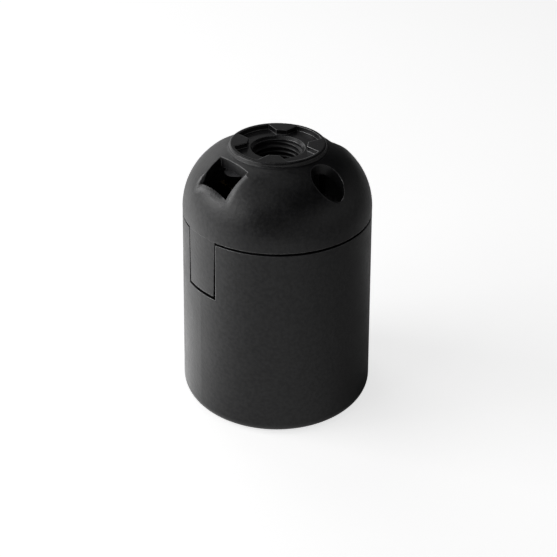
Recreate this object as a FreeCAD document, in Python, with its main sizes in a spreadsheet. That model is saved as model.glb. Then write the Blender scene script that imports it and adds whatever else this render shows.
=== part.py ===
import FreeCAD, Part
# E27 lamp holder in moulded plastic with a clip-on dome and an M10 entry, in millimetres.
# +Z points up through the entry bore, and the origin is the centre of the open mouth.
import math
import os

import Sketcher
from FreeCAD import Placement, Rotation, Vector

SIZES = {
    # directions about the axis, in degrees from +X
    "latch_angle": 218.8,
    "lug_angle": 263.0,
    "access_angle": 313.5,
    # lamp barrel
    "thread_radius": 13.35,
    "barrel_wall": 2.65,
    "cup_step": 1.0,
    "cup_drop": 6.7,
    "bead_step": 1.0,
    "bead_depth": 3.2,
    "bead_lead": 0.8,
    # skirt round the barrel
    "rim_height": 43.5,
    "skirt_gap": 0.45,
    "skirt_wall": 2.3,
    "skirt_flare": 1.22,
    "foot_round": 2.5,
    "mouth_web": 2.4,
    "mouth_step": 1.05,
    "mouth_round": 0.8,
    "mouth_depth": 4.3,
    # latch between the dome and the body
    "notch_width": 8.95,
    "notch_depth": 12.8,
    "tongue_play": 0.5,
    "tongue_taper": 0.65,
    "tongue_tip_gap": 0.75,
    "tongue_clearance": 0.1,
    "tongue_flush": 0.02,
    "hook_gap": 0.25,
    "hook_width": 6.0,
    "hook_clearance": 0.15,
    "hook_land": 0.8,
    "hook_bury": 0.4,
    "hook_lift": 0.15,
    # dome
    "dome_inset": 0.02,
    "reveal_gap": 0.55,
    "dome_land": 0.41,
    "shoulder_radius": 13.81,
    "dome_wall": 2.0,
    "spigot_wall": 1.45,
    "spigot_clearance": 0.1,
    "spigot_root": 2.45,
    # collar, recess and entry bore on the dome's crown
    "recess_radius": 9.0,
    "recess_depth": 1.05,
    "lip_wall": 0.9,
    "collar_rise": 1.107,
    "collar_round": 0.45,
    "collar_foot": 0.5,
    "lug_tip_gap": 1.1,
    "lug_tip_width": 2.2,
    "lug_root_width": 6.0,
    "lug_bury": 0.05,
    "entry_radius": 5.0,
    "entry_chamfer": 0.55,
    "entry_length": 12.0,
    "boss_wall": 2.4,
    # openings in the dome
    "window_gap": 1.05,
    "window_width": 8.9,
    "window_step": 0.06,
    "access_shift": 1.2,
    "access_radius": 3.35,
    # contact carrier
    "carrier_depth": 9.3,
    "carrier_clearance": 0.15,
    "carrier_disc": 3.0,
    "carrier_ring_wall": 1.8,
    "carrier_bevel": 0.5,
    "flange_thickness": 3.2,
    "flange_clearance": 0.1,
    "tower_wall": 1.5,
    "seat_lift": 1.2,
    "pillar_margin": 0.2,
    "pillar_width": 7.2,
    "partition_wall": 1.6,
    # sprung centre contact
    "pin_radius": 2.2,
    "pin_clearance": 0.1,
    "pin_reach": 3.9,
    "pin_floor": 1.0,
    "pin_flange_gap": 0.2,
    "pin_flange": 0.8,
    "pin_tail_radius": 1.2,
    "pin_tail": 2.4,
    "chamber_radius": 3.1,
    "spring_mean_radius": 2.2,
    "spring_wire": 0.6,
    "spring_turns": 4.0,
    "spring_segment": 0.25,
    # strips
    "strip_thickness": 0.5,
    "strip_margin": 0.8,
    "strip_overrun": 4.0,
    "arm_inset": 1.1,
    "side_knee_drop": 0.9,
    "side_tip_inset": 0.95,
    "side_tip_drop": 6.9,
    "thread_end_gap": 0.3,
    "arm_slot_clearance": 0.3,
    # rivet of the line strip
    "rivet_inset": 3.0,
    "rivet_radius": 0.95,
    "rivet_head_radius": 1.8,
    "rivet_head": 0.6,
    "rivet_depth": 3.5,
    "rivet_rib_width": 5.0,
    # terminals
    "block_gap": 0.13,
    "block_length": 5.1,
    "block_width": 5.8,
    "block_height": 6.5,
    "block_clearance": 0.15,
    "wire_radius": 1.35,
    "wire_height": 2.9,
    "spigot_radius": 1.2,
    "spigot_length": 3.0,
    "spigot_inset": 3.3,
    "screw_radius": 1.75,
    "screw_clearance": 0.05,
    "screw_inset": 2.5,
    "screw_seat_gap": 0.3,
    "screw_head_radius": 2.5,
    "screw_head": 2.0,
    "slot_width": 0.8,
    "slot_depth": 1.0,
    # length by which a cut runs past the face it goes through
    "overshoot": 1.0,
}

DOCUMENT = FreeCAD.newDocument("lamp_holder")


def fill_sheet():
    sheet = DOCUMENT.addObject("Spreadsheet::Sheet", "Sizes")
    for row, (name, number) in enumerate(SIZES.items(), start=1):
        sheet.set(f"A{row}", name)
        sheet.set(f"B{row}", str(number))
        sheet.setAlias(f"B{row}", name)
    DOCUMENT.recompute()


class Measure:
    """A number together with the sheet expression that gives it."""

    def __init__(self, value, text):
        self.value = value
        self.text = text

    def __add__(self, other):
        other = measure(other)
        return Measure(self.value + other.value, f"({self.text} + {other.text})")

    def __sub__(self, other):
        other = measure(other)
        return Measure(self.value - other.value, f"({self.text} - {other.text})")

    def __mul__(self, other):
        other = measure(other)
        return Measure(self.value * other.value, f"({self.text} * {other.text})")

    def __truediv__(self, other):
        other = measure(other)
        return Measure(self.value / other.value, f"({self.text} / {other.text})")

    def __neg__(self):
        return Measure(-self.value, f"(0 - {self.text})")


def measure(number):
    if isinstance(number, Measure):
        return number
    return Measure(float(number), repr(float(number)))


def size(name):
    return Measure(SIZES[name], f"Sizes.{name}")


def root(square):
    return Measure(math.sqrt(square.value), f"sqrt({square.text})")


def leg(hypotenuse, other_leg):
    return root(hypotenuse * hypotenuse - other_leg * other_leg)


def bind(thing, path, number):
    thing.setExpression(path, measure(number).text)


def new_body(name, turn=None):
    body = DOCUMENT.addObject("PartDesign::Body", name)
    body.Label = name
    if turn is not None:
        body.Placement = Placement(Vector(0, 0, 0), Rotation(Vector(0, 0, 1), turn.value))
        bind(body, "Placement.Rotation.Angle", turn)
    return body


def origin_feature(body, role):
    return next(item for item in body.Origin.OriginFeatures if item.Role == role)


def new_sketch(body, name, plane="XY_Plane", height=0.0, turn=0.0):
    """Sketch on an origin plane; height lifts it off the plane, turn rotates it in the plane."""
    height = measure(height)
    turn = measure(turn)
    sketch = body.newObject("Sketcher::SketchObject", name)
    sketch.AttachmentSupport = [(origin_feature(body, plane), "")]
    sketch.MapMode = "FlatFace"
    sketch.AttachmentOffset = Placement(Vector(0, 0, height.value), Rotation(Vector(0, 0, 1), turn.value))
    bind(sketch, "AttachmentOffset.Base.z", height)
    bind(sketch, "AttachmentOffset.Rotation.Angle", turn)
    return sketch


def arc_between(start, end, radius, side):
    """Arc from start to end; side is +1 where its centre lies to the left of the chord, else -1."""
    chord = end - start
    middle = (start + end) * 0.5
    reach = math.sqrt(max(radius * radius - chord.Length ** 2 / 4, 0))
    left = Vector(-chord.y, chord.x, 0).normalize()
    centre = middle + left * (side * reach)
    first, last = (start, end) if side > 0 else (end, start)
    first_angle = math.atan2(first.y - centre.y, first.x - centre.x)
    last_angle = math.atan2(last.y - centre.y, last.x - centre.x)
    if last_angle < first_angle:
        last_angle += 2 * math.pi
    return Part.ArcOfCircle(Part.Circle(centre, Vector(0, 0, 1), radius), first_angle, last_angle)


def draw_outline(sketch, corners, arcs=None):
    """Closed outline through the corners; arcs maps a corner's index to (radius, side) of the next edge.

    A curve's own start is its point 1 and its own end is its point 2.
    """
    arcs = arcs or {}
    corners = [(measure(across), measure(along)) for across, along in corners]
    points = [Vector(across.value, along.value, 0) for across, along in corners]
    count = len(points)
    first = sketch.GeometryCount
    ends = []
    for index, start in enumerate(points):
        end = points[(index + 1) % count]
        if index in arcs:
            radius, side = arcs[index]
            sketch.addGeometry(arc_between(start, end, measure(radius).value, side), False)
            ends.append((1, 2) if side > 0 else (2, 1))
        else:
            sketch.addGeometry(Part.LineSegment(start, end), False)
            ends.append((1, 2))
    for index in range(count):
        following = (index + 1) % count
        sketch.addConstraint(Sketcher.Constraint(
            "Coincident", first + index, ends[index][1], first + following, ends[following][0]))
    for index, (across, along) in enumerate(corners):
        for kind, number in (("DistanceX", across), ("DistanceY", along)):
            place = sketch.addConstraint(Sketcher.Constraint(
                kind, -1, 1, first + index, ends[index][0], number.value))
            bind(sketch, f"Constraints[{place}]", number)
    for index, (radius, side) in arcs.items():
        place = sketch.addConstraint(Sketcher.Constraint("Radius", first + index, measure(radius).value))
        bind(sketch, f"Constraints[{place}]", radius)
    return sketch


def draw_circle(sketch, across, along, radius):
    across = measure(across)
    along = measure(along)
    radius = measure(radius)
    circle = Part.Circle(Vector(across.value, along.value, 0), Vector(0, 0, 1), radius.value)
    index = sketch.addGeometry(circle, False)
    for kind, number in (("DistanceX", across), ("DistanceY", along)):
        place = sketch.addConstraint(Sketcher.Constraint(kind, -1, 1, index, 3, number.value))
        bind(sketch, f"Constraints[{place}]", number)
    place = sketch.addConstraint(Sketcher.Constraint("Radius", index, radius.value))
    bind(sketch, f"Constraints[{place}]", radius)
    return sketch


def draw_rectangle(sketch, left, right, low, high):
    return draw_outline(sketch, [(left, low), (right, low), (right, high), (left, high)])


def revolve(body, name, sketch):
    feature = body.newObject("PartDesign::Revolution", name)
    feature.Profile = sketch
    feature.ReferenceAxis = (sketch, ["V_Axis"])
    feature.Angle = 360
    sketch.Visibility = False
    return feature


def pad(body, name, sketch, length, symmetric=False):
    feature = body.newObject("PartDesign::Pad", name)
    feature.Profile = sketch
    feature.SideType = "Symmetric" if symmetric else "One side"
    bind(feature, "Length", length)
    return feature


def pocket(body, name, sketch, depth, symmetric=False):
    """Cut from the sketch against its normal."""
    before = body.Shape.Volume if not body.Shape.isNull() else 0.0
    feature = body.newObject("PartDesign::Pocket", name)
    feature.Profile = sketch
    feature.SideType = "Symmetric" if symmetric else "One side"
    bind(feature, "Length", depth)
    DOCUMENT.recompute()
    if body.Shape.Volume >= before - 1e-6:
        raise RuntimeError(f"{body.Label}: {name} cut nothing")
    return feature


def turns_of(count, first=0.0):
    """Equal turns about the axis, in degrees, for features that repeat round it."""
    return [measure(first) + 360 * index / count for index in range(count)]


# radii that several pieces share, from the lamp thread outwards
cup_radius = size("thread_radius") + size("cup_step")
mouth_radius = size("thread_radius") + size("mouth_step")
barrel_radius = size("thread_radius") + size("barrel_wall")
bead_radius = barrel_radius + size("bead_step")
tongue_inner = bead_radius + size("tongue_clearance")
skirt_inner = bead_radius + size("skirt_gap")
rim_radius = skirt_inner + size("skirt_wall")
foot_radius = rim_radius + size("skirt_flare")
dome_radius = rim_radius - size("dome_inset")
dome_spigot_outer = skirt_inner - size("spigot_clearance")
dome_spigot_inner = dome_spigot_outer - size("spigot_wall")
collar_radius = size("recess_radius") + size("lip_wall")
carrier_radius = cup_radius - size("carrier_clearance")
flange_radius = bead_radius - size("flange_clearance")
ring_inner = carrier_radius - size("carrier_ring_wall")
block_outer = leg(dome_spigot_inner - size("block_gap"), size("block_width") / 2)
block_inner = block_outer - size("block_length")
side_arm = block_inner - size("arm_inset")
rivet_distance = block_inner - size("rivet_inset")
spigot_distance = block_outer - size("spigot_inset")
screw_distance = block_outer - size("screw_inset")
access_distance = screw_distance + size("access_shift")
strip_width = size("block_width") - size("strip_margin")

# heights that several pieces share, from the rim of the skirt
cup_height = size("rim_height") - size("cup_drop")
bead_underside = cup_height - size("bead_depth")
notch_floor = size("rim_height") - size("notch_depth")
tongue_tip = notch_floor + size("tongue_tip_gap")
hook_top = bead_underside - size("hook_clearance")
flange_top = cup_height + size("flange_thickness")
seat_height = cup_height + size("seat_lift")
strip_top = seat_height + size("strip_thickness")
block_top = strip_top + size("block_height")
carrier_base = cup_height - size("carrier_depth")
disc_top = carrier_base + size("carrier_disc")
chamber_floor = carrier_base + size("pin_floor")
pin_flange_top = chamber_floor + size("pin_flange")
side_tip_height = carrier_base - size("side_tip_drop")
thread_end = side_tip_height - size("thread_end_gap")

# the dome's shoulder and the collar that stands on it
dome_edge = size("rim_height") + size("reveal_gap")
shoulder_height = dome_edge + size("dome_land")
shoulder_centre = dome_radius - size("shoulder_radius")
collar_foot_radius = collar_radius + size("collar_foot")
collar_foot_height = shoulder_height + leg(size("shoulder_radius"), collar_foot_radius - shoulder_centre)
collar_top = collar_foot_height + size("collar_rise")
recess_floor = collar_top - size("recess_depth")

# turns of the two terminals about the axis
neutral_turn = size("access_angle")
line_turn = size("access_angle") + 180


def skirt_radius(height):
    """Outer radius of the tapered skirt at a height above its foot rounding."""
    fall = (foot_radius - rim_radius) / (size("rim_height") - size("foot_round"))
    return rim_radius + fall * (size("rim_height") - height)


def make_body_shell():
    body = new_body("body_shell", size("latch_angle"))
    foot_inner = skirt_radius(size("mouth_web")) - size("skirt_wall")
    corners = [
        (mouth_radius + size("mouth_round"), 0),
        (foot_radius - size("foot_round"), 0),
        (foot_radius, size("foot_round")),
        (rim_radius, size("rim_height")),
        (skirt_inner, size("rim_height")),
        (foot_inner, size("mouth_web")),
        (barrel_radius, size("mouth_web")),
        (barrel_radius, bead_underside),
        (bead_radius, bead_underside),
        (bead_radius, cup_height - size("bead_lead")),
        (bead_radius - size("bead_lead"), cup_height),
        (cup_radius, cup_height),
        (cup_radius, thread_end),
        (size("thread_radius"), thread_end),
        (size("thread_radius"), size("mouth_depth") + size("mouth_step")),
        (mouth_radius, size("mouth_depth")),
        (mouth_radius, size("mouth_round")),
    ]
    last = len(corners) - 1
    profile = draw_outline(new_sketch(body, "skirt_and_barrel", "XZ_Plane"), corners,
                           {1: (size("foot_round"), 1), last: (size("mouth_round"), 1)})
    revolve(body, "moulding", profile)
    DOCUMENT.recompute()
    above = size("rim_height") + size("overshoot")
    half_notch = size("notch_width") / 2
    for turn in turns_of(2):
        notch = draw_rectangle(new_sketch(body, "notch_plan", height=above, turn=turn),
                               (bead_radius + skirt_inner) / 2, foot_radius + size("overshoot"),
                               -half_notch, half_notch)
        pocket(body, "notch", notch, above - notch_floor)
    return body


def dome_profile(body):
    """Half section of the dome: outer skin, collar, recess, boss, inner skin and locating spigot."""
    inner_shoulder = size("shoulder_radius") - size("dome_wall")
    boss_radius = size("entry_radius") + size("boss_wall")
    neck_height = dome_edge + size("spigot_root")
    neck_across = shoulder_centre + leg(inner_shoulder, neck_height - shoulder_height)
    corners = [
        (dome_radius, dome_edge),
        (dome_radius, shoulder_height),
        (collar_foot_radius, collar_foot_height),
        (collar_radius, collar_foot_height + size("collar_foot")),
        (collar_radius, collar_top - size("collar_round")),
        (collar_radius - size("collar_round"), collar_top),
        (size("recess_radius"), collar_top),
        (size("recess_radius"), recess_floor),
        (size("entry_radius") + size("entry_chamfer"), recess_floor),
        (size("entry_radius"), recess_floor - size("entry_chamfer")),
        (size("entry_radius"), recess_floor - size("entry_length")),
        (boss_radius, recess_floor - size("entry_length")),
        (boss_radius, shoulder_height + leg(inner_shoulder, boss_radius - shoulder_centre)),
        (neck_across, neck_height),
        (dome_spigot_inner, neck_height - neck_across + dome_spigot_inner),
        (dome_spigot_inner, flange_top),
        (dome_spigot_outer, flange_top),
        (dome_spigot_outer, dome_edge),
    ]
    arcs = {
        1: (size("shoulder_radius"), 1),
        2: (size("collar_foot"), -1),
        4: (size("collar_round"), 1),
        12: (inner_shoulder, -1),
    }
    return draw_outline(new_sketch(body, "dome_section", "XZ_Plane"), corners, arcs)


def tongue_section(body, name, height, width, turn):
    """Plan of a latch tongue at one height: flush with the skirt outside, clear of the bead inside."""
    outer = skirt_radius(height) - size("tongue_flush")
    half = width / 2
    corners = [
        (leg(tongue_inner, half), -half),
        (leg(outer, half), -half),
        (leg(outer, half), half),
        (leg(tongue_inner, half), half),
    ]
    sketch = new_sketch(body, name, height=height, turn=turn)
    return draw_outline(sketch, corners, {1: (outer, 1), 3: (tongue_inner, -1)})


def add_tongue(body, turn):
    root_width = size("notch_width") - size("tongue_play")
    tongue = body.newObject("PartDesign::AdditiveLoft", "tongue")
    tongue.Profile = tongue_section(body, "tongue_root", shoulder_height, root_width, turn)
    tongue.Sections = [tongue_section(body, "tongue_tip", tongue_tip, root_width - size("tongue_taper"), turn)]
    tongue.Ruled = True
    DOCUMENT.recompute()


def add_hook(body, side):
    """Ramped hook inside the tongue's tip; side is +1 for the near tongue and -1 for the far one."""
    hook_inner = barrel_radius + size("hook_gap")
    hook_root = tongue_inner + size("hook_bury")
    hook = draw_outline(new_sketch(body, "hook_profile", "XZ_Plane"), [
        (hook_root * side, tongue_tip + size("hook_lift")),
        (hook_root * side, hook_top),
        (hook_inner * side, hook_top),
        (hook_inner * side, hook_top - size("hook_land")),
    ])
    pad(body, "hook", hook, size("hook_width"), symmetric=True)


def make_dome_cap():
    body = new_body("dome_cap", size("latch_angle"))
    revolve(body, "dome", dome_profile(body))
    lug_turn = size("lug_angle") - size("latch_angle")
    half_tip = size("lug_tip_width") / 2
    half_root = size("lug_root_width") / 2
    tip_distance = size("entry_radius") + size("lug_tip_gap")
    root_radius = size("recess_radius") + size("lug_bury")
    for turn in turns_of(4, lug_turn):
        lug = draw_outline(new_sketch(body, "lug_plan", height=recess_floor, turn=turn), [
            (tip_distance, -half_tip),
            (leg(root_radius, half_root), -half_root),
            (leg(root_radius, half_root), half_root),
            (tip_distance, half_tip),
        ], {1: (root_radius, 1)})
        pad(body, "lug", lug, size("recess_depth"))
    DOCUMENT.recompute()
    above = collar_top + size("overshoot")
    half_window = size("window_width") / 2
    window_inner = collar_radius + size("window_gap")
    window_radius = tongue_inner - size("window_step")
    window_outer = leg(window_radius, half_window)
    windows = new_sketch(body, "window_plan", height=above)
    for side in (1, -1):
        draw_outline(windows, [
            (window_inner * side, -half_window * side),
            (window_outer * side, -half_window * side),
            (window_outer * side, half_window * side),
            (window_inner * side, half_window * side),
        ])
    pocket(body, "windows", windows, above - hook_top)
    for turn in turns_of(2, size("access_angle") - size("latch_angle")):
        access = draw_circle(new_sketch(body, "access_plan", height=above, turn=turn),
                             access_distance, 0, size("access_radius"))
        pocket(body, "access_hole", access, above - dome_edge - size("spigot_root"))
    for turn in turns_of(2):
        add_tongue(body, turn)
    for side in (1, -1):
        add_hook(body, side)
    return body


def make_contact_carrier():
    body = new_body("contact_carrier", neutral_turn)
    hole_radius = size("pin_radius") + size("pin_clearance")
    tower_radius = size("chamber_radius") + size("tower_wall")
    section = draw_outline(new_sketch(body, "carrier_section", "XZ_Plane"), [
        (hole_radius, carrier_base),
        (carrier_radius - size("carrier_bevel"), carrier_base),
        (carrier_radius, carrier_base + size("carrier_bevel")),
        (carrier_radius, cup_height),
        (flange_radius, cup_height),
        (flange_radius, flange_top),
        (ring_inner, flange_top),
        (ring_inner, disc_top),
        (tower_radius, disc_top),
        (tower_radius, seat_height),
        (hole_radius, seat_height),
    ])
    revolve(body, "carrier", section)
    half_pillar = size("pillar_width") / 2
    pillar_outer = leg(carrier_radius, half_pillar)
    for turn in turns_of(2):
        pillar = draw_rectangle(new_sketch(body, "pillar_plan", height=disc_top, turn=turn),
                                block_inner - size("pillar_margin"), pillar_outer, -half_pillar, half_pillar)
        pad(body, "pillar", pillar, seat_height - disc_top)
    half_wall = size("partition_wall") / 2
    wall_reach = ring_inner + size("carrier_ring_wall") / 2
    partition = draw_rectangle(new_sketch(body, "partition_plan", height=disc_top),
                               -half_wall, half_wall, -wall_reach, wall_reach)
    pad(body, "partition", partition, seat_height - disc_top)
    half_rib = size("rivet_rib_width") / 2
    rib = draw_rectangle(new_sketch(body, "rivet_rib_plan", height=disc_top),
                         -spigot_distance, -size("pin_radius") - size("tower_wall"),
                         -half_rib, half_rib)
    pad(body, "rivet_rib", rib, seat_height - disc_top)
    DOCUMENT.recompute()
    chamber = draw_circle(new_sketch(body, "chamber_plan", height=seat_height),
                          0, 0, size("chamber_radius"))
    pocket(body, "spring_chamber", chamber, seat_height - chamber_floor)
    rivet = draw_circle(new_sketch(body, "rivet_plan", height=seat_height),
                        -rivet_distance, 0, size("rivet_radius"))
    pocket(body, "rivet_hole", rivet, size("rivet_depth"))
    half_seat = size("block_width") / 2 + size("block_clearance")
    for turn in turns_of(2):
        seat = draw_rectangle(new_sketch(body, "seat_plan", height=flange_top, turn=turn),
                              ring_inner - size("overshoot"), block_outer + size("block_clearance"),
                              -half_seat, half_seat)
        pocket(body, "block_seat", seat, flange_top - seat_height)
        spigot = draw_circle(new_sketch(body, "spigot_plan", height=seat_height, turn=turn),
                             spigot_distance, 0, size("spigot_radius"))
        pocket(body, "spigot_hole", spigot, size("spigot_length"))
    half_slot = strip_width / 2 + size("arm_slot_clearance")
    slot = draw_rectangle(new_sketch(body, "arm_slot_plan", height=disc_top + size("overshoot")),
                          side_arm - size("arm_slot_clearance"),
                          side_arm + size("strip_thickness") + size("arm_slot_clearance"),
                          -half_slot, half_slot)
    pocket(body, "arm_slot", slot, size("carrier_disc") + size("overshoot") * 2)
    return body


def make_centre_contact():
    body = new_body("centre_contact")
    pin_tip = carrier_base - size("pin_reach")
    pin_flange_radius = size("chamber_radius") - size("pin_flange_gap")
    section = draw_outline(new_sketch(body, "pin_section", "XZ_Plane"), [
        (0, pin_tip),
        (size("pin_radius"), pin_tip + size("pin_radius")),
        (size("pin_radius"), chamber_floor),
        (pin_flange_radius, chamber_floor),
        (pin_flange_radius, pin_flange_top),
        (size("pin_tail_radius"), pin_flange_top),
        (size("pin_tail_radius"), pin_flange_top + size("pin_tail")),
        (0, pin_flange_top + size("pin_tail")),
    ], {0: (size("pin_radius"), 1)})
    revolve(body, "pin", section)
    return body


def make_centre_spring():
    """Coil with its wire resting on the plunger's flange below and on the line strip above."""
    half_wire = size("spring_wire") / 2
    rise = seat_height - pin_flange_top - size("spring_wire")
    pitch = rise / size("spring_turns")
    helix = DOCUMENT.addObject("Part::Helix", "spring_line")
    bind(helix, "Pitch", pitch)
    bind(helix, "Height", rise)
    bind(helix, "Radius", size("spring_mean_radius"))
    bind(helix, "SegmentLength", size("spring_segment"))
    helix.Placement = Placement(Vector(0, 0, (pin_flange_top + half_wire).value), Rotation())
    bind(helix, "Placement.Base.z", pin_flange_top + half_wire)
    wire = DOCUMENT.addObject("Part::Circle", "spring_wire_section")
    bind(wire, "Radius", half_wire)
    wire.Placement = Placement(Vector(size("spring_mean_radius").value, 0, (pin_flange_top + half_wire).value),
                               Rotation(Vector(1, 0, 0), 90))
    bind(wire, "Placement.Base.x", size("spring_mean_radius"))
    bind(wire, "Placement.Base.z", pin_flange_top + half_wire)
    DOCUMENT.recompute()
    coil = DOCUMENT.addObject("Part::Sweep", "centre_spring")
    coil.Label = "centre_spring"
    coil.Sections = [wire]
    coil.Spine = (helix, [f"Edge{index + 1}" for index in range(len(helix.Shape.Edges))])
    coil.Solid = True
    coil.Frenet = True
    return coil


def make_line_strip():
    body = new_body("line_strip", line_turn)
    half = strip_width / 2
    plan = draw_rectangle(new_sketch(body, "strip_plan", height=seat_height),
                          -size("strip_overrun"), block_outer, -half, half)
    draw_circle(plan, spigot_distance, 0, size("spigot_radius"))
    draw_circle(plan, rivet_distance, 0, size("rivet_radius"))
    pad(body, "strip", plan, size("strip_thickness"))
    return body


def make_strip_rivet():
    body = new_body("strip_rivet", line_turn)
    shank = draw_circle(new_sketch(body, "shank_plan", height=seat_height - size("rivet_depth")),
                        rivet_distance, 0, size("rivet_radius"))
    pad(body, "shank", shank, size("rivet_depth") + size("strip_thickness"))
    head = draw_circle(new_sketch(body, "head_plan", height=strip_top),
                       rivet_distance, 0, size("rivet_head_radius"))
    pad(body, "head", head, size("rivet_head"))
    return body


def make_side_contact():
    """Strip bent down from its foot under the terminal, through the carrier, to the lamp's screw shell."""
    body = new_body("side_contact", neutral_turn)
    thick = size("strip_thickness")
    knee_height = carrier_base - size("side_knee_drop")
    tip_radius = size("thread_radius") - size("side_tip_inset")
    section = draw_outline(new_sketch(body, "arm_section", "XZ_Plane"), [
        (side_arm, strip_top),
        (side_arm, knee_height),
        (tip_radius, side_tip_height),
        (tip_radius + thick, side_tip_height),
        (side_arm + thick, knee_height + thick / 2),
        (side_arm + thick, seat_height),
        (block_outer, seat_height),
        (block_outer, strip_top),
    ])
    pad(body, "strip", section, strip_width, symmetric=True)
    DOCUMENT.recompute()
    spigot = draw_circle(new_sketch(body, "spigot_plan", height=strip_top),
                         spigot_distance, 0, size("spigot_radius"))
    pocket(body, "spigot_hole", spigot, thick)
    return body


def make_terminal(name, turn):
    body = new_body(name, turn)
    half = size("block_width") / 2
    plan = draw_rectangle(new_sketch(body, "block_plan", height=strip_top),
                          block_inner, block_outer, -half, half)
    pad(body, "block", plan, size("block_height"))
    spigot = draw_circle(new_sketch(body, "spigot_plan", height=seat_height - size("spigot_length")),
                         spigot_distance, 0, size("spigot_radius"))
    pad(body, "spigot", spigot, size("spigot_length") + size("strip_thickness"))
    DOCUMENT.recompute()
    wire = draw_circle(new_sketch(body, "wire_section", "YZ_Plane", height=block_outer + size("overshoot")),
                       0, strip_top + size("wire_height"), size("wire_radius"))
    pocket(body, "wire_hole", wire, size("block_length") + size("overshoot") * 2)
    screw = draw_circle(new_sketch(body, "screw_plan", height=block_top),
                        screw_distance, 0, size("screw_radius") + size("screw_clearance"))
    pocket(body, "screw_hole", screw, size("block_height") - size("wire_height") + size("wire_radius"))
    return body


def make_terminal_screw(name, turn):
    """Slotted cheese-head screw, shown turned down against the bottom of the wire hole."""
    body = new_body(name, turn)
    tip = strip_top + size("wire_height") - size("wire_radius") + size("screw_seat_gap")
    head_base = block_top + size("screw_seat_gap")
    shank = draw_circle(new_sketch(body, "shank_plan", height=tip), screw_distance, 0, size("screw_radius"))
    pad(body, "shank", shank, head_base - tip)
    head = draw_circle(new_sketch(body, "head_plan", height=head_base),
                       screw_distance, 0, size("screw_head_radius"))
    pad(body, "head", head, size("screw_head"))
    DOCUMENT.recompute()
    half_slot = size("slot_width") / 2
    reach = size("screw_head_radius") + size("overshoot")
    slot = draw_rectangle(new_sketch(body, "slot_plan", height=head_base + size("screw_head")),
                          screw_distance - reach, screw_distance + reach, -half_slot, half_slot)
    pocket(body, "slot", slot, size("slot_depth"))
    return body


def check_document():
    for item in DOCUMENT.Objects:
        if "Invalid" in item.State or "Error" in item.State:
            raise RuntimeError(f"{item.Label} did not compute: {item.getStatusString()}")


def export(pieces):
    os.makedirs("parts", exist_ok=True)
    for piece in pieces:
        shape = piece.Shape
        if shape.isNull() or not shape.isValid():
            raise RuntimeError(f"{piece.Label} has no valid shape")
        if len(shape.Solids) != 1:
            raise RuntimeError(f"{piece.Label} has {len(shape.Solids)} solids")
        print(f"{piece.Label}: {shape.Volume:.1f} mm3")
    for piece in pieces:
        piece.Shape.exportStep(f"parts/{piece.Label}.step")


fill_sheet()
PIECES = [
    make_body_shell(),
    make_dome_cap(),
    make_contact_carrier(),
    make_centre_contact(),
    make_centre_spring(),
    make_line_strip(),
    make_strip_rivet(),
    make_side_contact(),
    make_terminal("line_terminal", line_turn),
    make_terminal("neutral_terminal", neutral_turn),
    make_terminal_screw("line_terminal_screw", line_turn),
    make_terminal_screw("neutral_terminal_screw", neutral_turn),
]
DOCUMENT.recompute()
check_document()
export(PIECES)
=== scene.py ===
import math
import bpy
from mathutils import Euler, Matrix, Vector


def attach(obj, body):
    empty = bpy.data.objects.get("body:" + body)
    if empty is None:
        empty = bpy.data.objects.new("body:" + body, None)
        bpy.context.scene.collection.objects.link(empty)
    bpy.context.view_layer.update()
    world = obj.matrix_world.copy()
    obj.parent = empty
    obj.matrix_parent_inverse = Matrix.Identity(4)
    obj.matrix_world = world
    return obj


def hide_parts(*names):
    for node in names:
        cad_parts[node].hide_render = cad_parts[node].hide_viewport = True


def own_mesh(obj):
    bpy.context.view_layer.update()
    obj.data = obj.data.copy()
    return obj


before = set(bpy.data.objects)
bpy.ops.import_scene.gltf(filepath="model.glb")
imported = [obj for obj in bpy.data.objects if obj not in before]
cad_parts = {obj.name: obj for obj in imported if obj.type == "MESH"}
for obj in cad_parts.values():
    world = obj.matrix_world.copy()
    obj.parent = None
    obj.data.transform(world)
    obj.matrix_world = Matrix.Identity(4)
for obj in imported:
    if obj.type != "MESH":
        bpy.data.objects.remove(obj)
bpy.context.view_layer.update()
print("frame loaded:", len(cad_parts), "nodes")

mm = 0.001
noiseSpan = (0.3, 0.7)  # nearly all values of a noise texture lie between these two
bevelSamples = 8
edgeFacing = (0.997, 0.93)  # dot product of the true and the rounded normal: off the edge, on the edge


def addNode(tree, kind, inputs=None, **settings):
    node = tree.nodes.new(kind)
    for name, value in settings.items():
        setattr(node, name, value)
    for name, value in (inputs or {}).items():
        if isinstance(value, bpy.types.NodeSocket):
            tree.links.new(value, node.inputs[name])
        else:
            node.inputs[name].default_value = value
    return node


def maths(tree, operation, first, second=0.0, clamp=False):
    return addNode(tree, "ShaderNodeMath", {0: first, 1: second}, operation=operation, use_clamp=clamp).outputs[0]


def noise(tree, place, lump, detail):  # lump is about how wide one lump is, in metres
    return addNode(tree, "ShaderNodeTexNoise", {"Vector": place, "Scale": 1 / lump, "Detail": detail}).outputs["Fac"]


def spread(tree, value, low, high, bottom=0.0, top=1.0):  # stretches low..high onto bottom..top
    return addNode(tree, "ShaderNodeMapRange", {
        "Value": value, "From Min": low, "From Max": high, "To Min": bottom, "To Max": top}).outputs[0]


def mixColour(tree, amount, first, second):  # sockets 6 and 7 are the two colours, and output 2 the mix
    return addNode(tree, "ShaderNodeMix", {0: amount, 6: first, 7: second}, data_type="RGBA").outputs[2]


def newMaterial(name):
    material = bpy.data.materials.new(name)
    material.use_nodes = True
    material.node_tree.nodes.clear()
    return material, material.node_tree


def finishMaterial(tree, shader):
    addNode(tree, "ShaderNodeOutputMaterial", {"Surface": shader.outputs[0]})


def within(tree, value, low, high):  # 1 where low < value < high
    over = maths(tree, "GREATER_THAN", value, low)
    return maths(tree, "MULTIPLY", over, maths(tree, "LESS_THAN", value, high))


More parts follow.
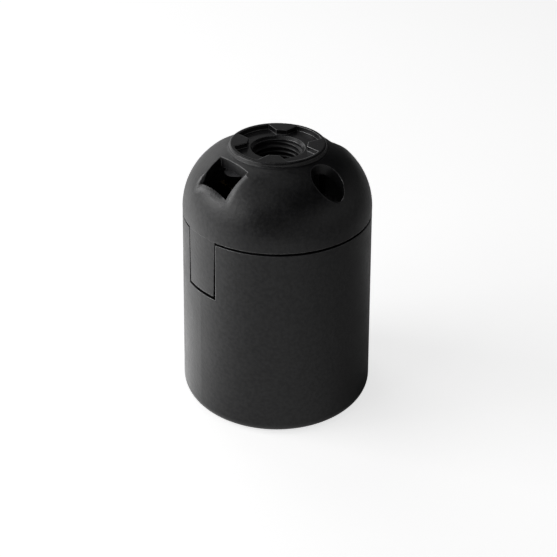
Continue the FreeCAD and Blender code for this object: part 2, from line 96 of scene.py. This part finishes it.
def windowSides(tree, place, window):  # 1 by the outer and the front side of each window, whose edges are softer
    turned = addNode(tree, "ShaderNodeVectorRotate", {"Vector": place, "Angle": math.radians(-window["turn"])},
                     rotation_type="Z_AXIS").outputs[0]
    split = addNode(tree, "ShaderNodeSeparateXYZ", {0: turned})
    side = maths(tree, "SIGN", split.outputs[0])
    out = maths(tree, "MULTIPLY", split.outputs[0], side)
    along = maths(tree, "MULTIPLY", split.outputs[1], side)
    near = maths(tree, "MAXIMUM", spread(tree, out, *window["outerSide"]), spread(tree, along, *window["frontSide"]))
    for value, limits in ((out, window["out"]), (along, window["along"]), (split.outputs[2], window["height"])):
        near = maths(tree, "MULTIPLY", near, within(tree, value, *limits))
    return near


def softEdges(tree, radius):  # rounded look of a moulded or cut edge, and a mask that is 1 on the edge itself
    bevel = addNode(tree, "ShaderNodeBevel", {"Radius": radius}, samples=bevelSamples)
    geometry = addNode(tree, "ShaderNodeNewGeometry")
    facing = addNode(tree, "ShaderNodeVectorMath", {0: bevel.outputs[0], 1: geometry.outputs["Normal"]},
                     operation="DOT_PRODUCT").outputs["Value"]
    return bevel.outputs[0], spread(tree, facing, *edgeFacing)


def addMesh(name, points, faces, material):
    mesh = bpy.data.meshes.new(name)
    mesh.from_pydata(points, [], faces)
    mesh.materials.append(material)
    piece = bpy.data.objects.new(name, mesh)
    bpy.context.scene.collection.objects.link(piece)
    return piece


# camera, from the photograph: the object's axis, rim, foot and collar fix where it stood
cameraFit = {
    "place": (0.0, -199.976 * mm, 151.368 * mm),
    "turn": (57.960, -0.337, 0.114),
    "focalPixels": 1084.5,
    "photoPixels": 557,
    "sensor": 36.0,
    "nearest": 10 * mm,
}
cameraData = bpy.data.cameras.new("photoCamera")
cameraData.sensor_width = cameraFit["sensor"]
cameraData.lens = cameraFit["focalPixels"] / cameraFit["photoPixels"] * cameraFit["sensor"]
cameraData.clip_start = cameraFit["nearest"]
camera = bpy.data.objects.new("photoCamera", cameraData)
camera.location = cameraFit["place"]
camera.rotation_euler = Euler([math.radians(angle) for angle in cameraFit["turn"]])
bpy.context.scene.collection.objects.link(camera)
bpy.context.scene.camera = camera
print("camera placed")

# lights: softboxes to the left and above, all at one distance from the object and of one size
softboxes = {
    "left": {"azimuth": 180, "elevation": 28, "glow": 2.9},
    "frontLeft": {"azimuth": 210, "elevation": 28, "glow": 1.6},
    "backLeft": {"azimuth": 120, "elevation": 28, "glow": 0.5},
    "highLeft": {"azimuth": 180, "elevation": 55, "glow": 0.8},
    "highBack": {"azimuth": 120, "elevation": 55, "glow": 0.85},
    "highFront": {"azimuth": 240, "elevation": 55, "glow": 0.4},
    "overhead": {"azimuth": 0, "elevation": 89, "glow": 0.3},
}
softboxSize = 0.30
softboxDistance = 0.60
aim = Vector((0, 0, 30 * mm))
for name, box in softboxes.items():
    lampData = bpy.data.lights.new(name, "AREA")
    lampData.shape = "SQUARE"
    lampData.size = softboxSize
    lampData.energy = box["glow"] * math.pi * softboxSize ** 2
    lamp = bpy.data.objects.new(name, lampData)
    reach = Vector((softboxDistance, 0, 0))
    reach.rotate(Euler((0, math.radians(-box["elevation"]), math.radians(box["azimuth"]))))
    lamp.location = aim + reach
    lamp.rotation_euler = (-reach).to_track_quat("-Z", "Y").to_euler()
    bpy.context.scene.collection.objects.link(lamp)

# backdrop: white all round for the camera, and for reflections white on the left, grey in front, dark on the right;
# each lobe is (azimuth in degrees, level)
backdrop = {
    "white": 1.0,
    "dark": 0.0,
    "power": 3.0,
    "wall": ((180, 1.0), (140, 0.8), (315, 0.25), (0, 0.17)),
    "wallTop": (0.6, 0.35),
    "floor": ((180, 1.05), (135, 0.3), (270, 0.26), (90, 0.07)),
}


def lobes(tree, direction, levels, power):  # sum of soft lobes round the vertical, each brightest at its azimuth
    flat = addNode(tree, "ShaderNodeVectorMath", {0: direction, 1: (1, 1, 0)}, operation="MULTIPLY").outputs[0]
    unit = addNode(tree, "ShaderNodeVectorMath", {0: flat}, operation="NORMALIZE").outputs[0]
    total = None
    for azimuth, level in levels:
        towards = (math.cos(math.radians(azimuth)), math.sin(math.radians(azimuth)), 0)
        dot = addNode(tree, "ShaderNodeVectorMath", {0: unit, 1: towards}, operation="DOT_PRODUCT").outputs["Value"]
        lobe = maths(tree, "MULTIPLY", maths(tree, "POWER", maths(tree, "MAXIMUM", dot, 0.0), power), level)
        total = lobe if total is None else maths(tree, "ADD", total, lobe)
    return total


world = bpy.data.worlds.new("studio")
bpy.context.scene.world = world
world.use_nodes = True
worldTree = world.node_tree
worldTree.nodes.clear()
ray = addNode(worldTree, "ShaderNodeLightPath")
skyway = addNode(worldTree, "ShaderNodeTexCoord").outputs["Generated"]
upward = addNode(worldTree, "ShaderNodeSeparateXYZ", {0: skyway}).outputs[2]
wall = maths(worldTree, "MULTIPLY", lobes(worldTree, skyway, backdrop["wall"], backdrop["power"]),
             spread(worldTree, upward, *backdrop["wallTop"]))
mirrored = maths(worldTree, "MULTIPLY", ray.outputs["Is Glossy Ray"], wall)
seen = maths(worldTree, "MAXIMUM", ray.outputs["Is Camera Ray"], ray.outputs["Is Transmission Ray"])
level = spread(worldTree, maths(worldTree, "MAXIMUM", seen, mirrored), 0.0, 1.0, backdrop["dark"], backdrop["white"])
skyShader = addNode(worldTree, "ShaderNodeBackground", {"Color": (1, 1, 1, 1), "Strength": level})
addNode(worldTree, "ShaderNodeOutputWorld", {"Surface": skyShader.outputs[0]})

# floor: pale, and lifted to white for the camera wherever the object doesn't shade it
floorLook = {"half": 1.5, "colour": (0.86, 0.86, 0.86, 1), "lift": 0.74}
floorMaterial, tree = newMaterial("paleFloor")
ray = addNode(tree, "ShaderNodeLightPath")
paint = addNode(tree, "ShaderNodeBsdfDiffuse", {"Color": floorLook["colour"]})
place = addNode(tree, "ShaderNodeNewGeometry").outputs["Position"]
seen = maths(tree, "MAXIMUM", ray.outputs["Is Camera Ray"], ray.outputs["Is Transmission Ray"])
mirrored = maths(tree, "MULTIPLY", ray.outputs["Is Glossy Ray"],
                 lobes(tree, place, backdrop["floor"], backdrop["power"]))
lift = maths(tree, "MAXIMUM", maths(tree, "MULTIPLY", seen, floorLook["lift"]), mirrored)
glow = addNode(tree, "ShaderNodeEmission", {"Strength": lift})
finishMaterial(tree, addNode(tree, "ShaderNodeAddShader", {0: paint.outputs[0], 1: glow.outputs[0]}))
half = floorLook["half"]
floorCorners = [(-half, -half, 0), (half, -half, 0), (half, half, 0), (-half, half, 0)]
floor = addMesh("floor", floorCorners, [(0, 1, 2, 3)], floorMaterial)
print("lights and floor ready")


def mouldedPlastic(name, look):
    material, tree = newMaterial(name)
    place = addNode(tree, "ShaderNodeTexCoord").outputs["Object"]
    edgeRadius = look["edgeRadius"]
    if "window" in look:
        nearWindow = windowSides(tree, place, look["window"])
        edgeRadius = spread(tree, nearWindow, 0.0, 1.0, edgeRadius, look["window"]["edgeRadius"])
    softNormal, edge = softEdges(tree, edgeRadius)
    cloud = spread(tree, noise(tree, place, look["cloud"], 4), *noiseSpan)
    grain = noise(tree, place, look["grain"], 2)
    mottle = noise(tree, place, look["mottle"], 2)
    patches = spread(tree, noise(tree, place, look["wearPatch"], 5), *look["patchSpan"])
    # painted highlight: edges are lightened towards the rubbed colour, at half strength on every edge and fully in
    # patches; partly real rubbing of the plastic, partly a painted highlight standing in for light caught on the
    # rounded edges
    wearAndHighlightMask = maths(tree, "MULTIPLY", edge, spread(tree, patches, 0.0, 1.0, look["leastWearAndHighlight"], 1.0), clamp=True)
    tone = mixColour(tree, cloud, look["darkest"], look["lightest"])
    colour = mixColour(tree, maths(tree, "MULTIPLY", wearAndHighlightMask, look["edgeLightening"]), tone, look["edgeWearAndHighlight"])
    roughness = maths(tree, "ADD", spread(tree, cloud, 0.0, 1.0, look["smooth"], look["rough"]),
                      spread(tree, mottle, *noiseSpan, -look["mottleRough"], look["mottleRough"]))
    roughness = maths(tree, "SUBTRACT", roughness, maths(tree, "MULTIPLY", wearAndHighlightMask, look["edgeGloss"]))
    specular = maths(tree, "ADD", spread(tree, mottle, *look["mottleSpan"], *look["specular"]),
                     maths(tree, "MULTIPLY", wearAndHighlightMask, look["edgeSpecular"]))
    relief = maths(tree, "ADD", maths(tree, "MULTIPLY", grain, look["grainDepth"]),
                   maths(tree, "MULTIPLY", mottle, look["mottleDepth"]))
    if "polished" in look:  # the collar and its recess come off a polished face of the mould
        split = addNode(tree, "ShaderNodeSeparateXYZ", {0: place})
        flat = addNode(tree, "ShaderNodeCombineXYZ", {0: split.outputs[0], 1: split.outputs[1]})
        across = addNode(tree, "ShaderNodeVectorMath", {0: flat.outputs[0]}, operation="LENGTH").outputs["Value"]
        inside = maths(tree, "LESS_THAN", across, look["polished"]["radius"])
        above = maths(tree, "GREATER_THAN", split.outputs[2], look["polished"]["floor"])
        polished = maths(tree, "MULTIPLY", inside, above)
        roughness = maths(tree, "SUBTRACT", roughness, maths(tree, "MULTIPLY", polished, look["polished"]["gain"]))
        relief = maths(tree, "MULTIPLY", relief, maths(tree, "SUBTRACT", 1.0, polished))
    bump = addNode(tree, "ShaderNodeBump", {
        "Strength": 1.0, "Distance": 1.0, "Height": relief, "Normal": softNormal})
    shader = addNode(tree, "ShaderNodeBsdfPrincipled", {
        "Base Color": colour, "Roughness": roughness, "Normal": bump.outputs[0],
        "IOR": look["ior"], "Specular IOR Level": specular})
    finishMaterial(tree, shader)
    return material


housingLook = {
    "darkest": (0.010, 0.010, 0.011, 1),
    "lightest": (0.016, 0.016, 0.017, 1),
    # edge colour, its strength and its least amount: partly real rubbed plastic, partly a painted highlight along
    # every edge
    "edgeWearAndHighlight": (0.18, 0.18, 0.185, 1),
    "edgeLightening": 0.8,
    "leastWearAndHighlight": 0.5,
    "edgeGloss": 0.18,
    "edgeSpecular": 0.8,
    "wearPatch": 2.5 * mm,
    "patchSpan": (0.42, 0.62),
    "cloud": 7 * mm,
    "grain": 0.17 * mm,
    "grainDepth": 0.012 * mm,
    "mottle": 0.75 * mm,
    "mottleSpan": (0.35, 0.65),
    "mottleDepth": 0.038 * mm,
    "mottleRough": 0.05,
    "edgeRadius": 0.25 * mm,
    "smooth": 0.32,
    "rough": 0.42,
    "ior": 1.5,
    "specular": (0.44, 0.57),
}
capLook = dict(
    housingLook,
    polished={"radius": 9.95 * mm, "floor": 56.9 * mm, "gain": 0.15},
    window={
        "turn": 218.8,
        "outerSide": (14.4 * mm, 15.4 * mm),
        "frontSide": (2.4 * mm, 3.4 * mm),
        "out": (11.6 * mm, 18.4 * mm),
        "along": (-6.4 * mm, 6.4 * mm),
        "height": (46.5 * mm, 57.0 * mm),
        "edgeRadius": 2.2 * mm,
    },
)
insertLook = dict(housingLook, darkest=(0.03, 0.03, 0.031, 1), lightest=(0.042, 0.042, 0.043, 1),
                  grainDepth=0.004 * mm, smooth=0.34, rough=0.44, edgeRadius=0.15 * mm)
threadLook = dict(housingLook, grainDepth=0.003 * mm, smooth=0.3, rough=0.4, edgeRadius=0.1 * mm)


def metal(name, look):
    material, tree = newMaterial(name)
    place = addNode(tree, "ShaderNodeTexCoord").outputs["Object"]
    softNormal, edge = softEdges(tree, look["edgeRadius"])
    stretched = addNode(tree, "ShaderNodeMapping", {"Vector": place, "Scale": look["stretch"]}).outputs[0]
    lines = noise(tree, stretched, look["line"], 3)
    stain = spread(tree, noise(tree, place, look["stain"], 5), *look["stainSpan"])
    tone = mixColour(tree, stain, look["clean"], look["dull"])
    colour = mixColour(tree, maths(tree, "MULTIPLY", edge, look["edgeLightening"]), tone, look["bright"])
    rough = maths(tree, "ADD", spread(tree, lines, *noiseSpan, look["smooth"], look["rough"]),
                  maths(tree, "MULTIPLY", stain, look["stainRough"]))
    bump = addNode(tree, "ShaderNodeBump", {
        "Strength": 1.0, "Distance": look["lineDepth"], "Height": lines, "Normal": softNormal})
    shader = addNode(tree, "ShaderNodeBsdfPrincipled", {
        "Base Color": colour, "Metallic": 1.0, "Roughness": rough, "Normal": bump.outputs[0]})
    finishMaterial(tree, shader)
    return material


brassLook = {
    "clean": (0.60, 0.42, 0.18, 1),
    "dull": (0.36, 0.24, 0.10, 1),
    "bright": (0.85, 0.66, 0.34, 1),
    "edgeLightening": 0.6,
    "stretch": (1, 1, 14),
    "line": 0.5 * mm,
    "lineDepth": 0.004 * mm,
    "stain": 1.6 * mm,
    "stainSpan": (0.4, 0.7),
    "edgeRadius": 0.12 * mm,
    "smooth": 0.2,
    "rough": 0.34,
    "stainRough": 0.12,
}
bronzeLook = dict(brassLook, clean=(0.78, 0.47, 0.26, 1), dull=(0.50, 0.28, 0.15, 1), bright=(0.92, 0.66, 0.44, 1),
                  stretch=(9, 9, 1), edgeRadius=0.08 * mm)
# painted shade: the screws' zinc is made much darker than plated steel, so that the screws deep inside the cap stay
# as dark as the shade there
shadeDarkenedZincLook = dict(brassLook, clean=(0.30, 0.30, 0.31, 1), dull=(0.17, 0.17, 0.18, 1), bright=(0.5, 0.5, 0.5, 1),
                stain=0.8 * mm, smooth=0.34, rough=0.5)
springLook = dict(shadeDarkenedZincLook, clean=(0.55, 0.55, 0.56, 1), dull=(0.36, 0.36, 0.37, 1), edgeRadius=0.03 * mm)


def dress(node, material):
    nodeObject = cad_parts[node]
    nodeObject.data.materials.clear()
    nodeObject.data.materials.append(material)


dress("body_shell", mouldedPlastic("housingPlastic", housingLook))
dress("dome_cap", mouldedPlastic("capPlastic", capLook))
dress("contact_carrier", mouldedPlastic("insertPlastic", insertLook))
turnedBrass = metal("turnedBrass", brassLook)
for node in ("centre_contact", "strip_rivet", "line_terminal", "neutral_terminal"):
    dress(node, turnedBrass)
rolledBronze = metal("rolledBronze", bronzeLook)
for node in ("line_strip", "side_contact"):
    dress(node, rolledBronze)
# the terminal screws get the darkened zinc, a painted shade for their place inside the cap
platedSteelPaintedShade = metal("platedSteelPaintedShade", shadeDarkenedZincLook)
for node in ("line_terminal_screw", "neutral_terminal_screw"):
    dress(node, platedSteelPaintedShade)
print("materials ready")


def threadRidge(name, thread, material):  # ridge of a right-hand inside thread that runs out at both ends
    turnSteps = thread["turnSteps"]
    rings = int((thread["high"] - thread["low"] - thread["base"]) / thread["pitch"] * turnSteps)
    points = []
    faces = []
    across = thread["across"]
    for ring in range(rings + 1):
        angle = 2 * math.pi * ring / turnSteps
        middle = thread["low"] + thread["base"] / 2 + thread["pitch"] * ring / turnSteps
        fade = min(1.0, ring / thread["runOut"], (rings - ring) / thread["runOut"])
        for step in range(across + 1):
            side = 2 * step / across - 1
            shape = min(1.0, (1 - abs(side)) / (1 - thread["crest"] / thread["base"]))
            rise = thread["height"] * fade * (1 - math.cos(math.pi * shape)) / 2
            radius = thread["radius"] + thread["buried"] - (rise + thread["buried"]) * (shape > 0)
            height = middle + side * thread["base"] / 2 * max(fade, thread["thinnest"])
            points.append((radius * math.cos(angle), radius * math.sin(angle), height))
    for ring in range(rings):
        for step in range(across):
            near = ring * (across + 1) + step
            far = near + across + 1
            faces.append((near, near + 1, far + 1, far))
    ridge = addMesh(name, points, faces, material)
    ridge.data.shade_smooth()
    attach(ridge, "holder")


lampThread = {
    "radius": 13.35 * mm,
    "height": 1.1 * mm,
    "pitch": 3.629 * mm,
    "base": 3.1 * mm,
    "crest": 0.5 * mm,
    "buried": 0.12 * mm,
    "low": 5.6 * mm,
    "high": 20.1 * mm,
    "turnSteps": 96,
    "runOut": 18,
    "thinnest": 0.3,
    "across": 12,
}
entryThread = {
    "radius": 5.0 * mm,
    "height": 0.54 * mm,
    "pitch": 1.0 * mm,
    "base": 0.92 * mm,
    "crest": 0.14 * mm,
    "buried": 0.05 * mm,
    "low": 45.7 * mm,
    "high": 56.95 * mm,
    "turnSteps": 72,
    "runOut": 20,
    "thinnest": 0.3,
    "across": 6,
}
threadPlastic = mouldedPlastic("threadPlastic", threadLook)
threadRidge("lamp_thread", lampThread, threadPlastic)
threadRidge("entry_thread_ridge", entryThread, threadPlastic)
print("threads ready")

# spring behind the plunger: it replaces its CAD node
pressSpring = {
    "middle": 2.2 * mm,
    "wire": 0.3 * mm,
    "low": 29.3 * mm,
    "high": 38.0 * mm,
    "pressed": 2.0 * mm,
    "turns": 4,
    "turnSteps": 48,
    "around": 12,
}


def coilSpring(name, spring, material):
    rings = spring["turns"] * spring["turnSteps"]
    around = spring["around"]
    rise = spring["high"] - spring["low"] - 2 * spring["wire"]
    points = []
    for ring in range(rings + 1):
        angle = 2 * math.pi * ring / spring["turnSteps"]
        for step in range(around):
            turn = 2 * math.pi * step / around
            radius = spring["middle"] + spring["wire"] * math.cos(turn)
            height = spring["low"] + spring["wire"] * (1 + math.sin(turn)) + rise * ring / rings
            points.append((radius * math.cos(angle), radius * math.sin(angle), height))
    faces = [tuple(range(around)), tuple(reversed(range(rings * around, (rings + 1) * around)))]
    for ring in range(rings):
        for step in range(around):
            near = ring * around + step
            beside = ring * around + (step + 1) % around
            faces.append((near, near + around, beside + around, beside))
    piece = addMesh(name, points, faces, material)
    piece.data.shade_smooth()
    return piece


coil = coilSpring("press_spring", pressSpring, metal("springWire", springLook))
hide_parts("centre_spring")
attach(coil, "holder")
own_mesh(coil)
print("spring ready")

bpy.context.scene.view_settings.view_transform = "Standard"
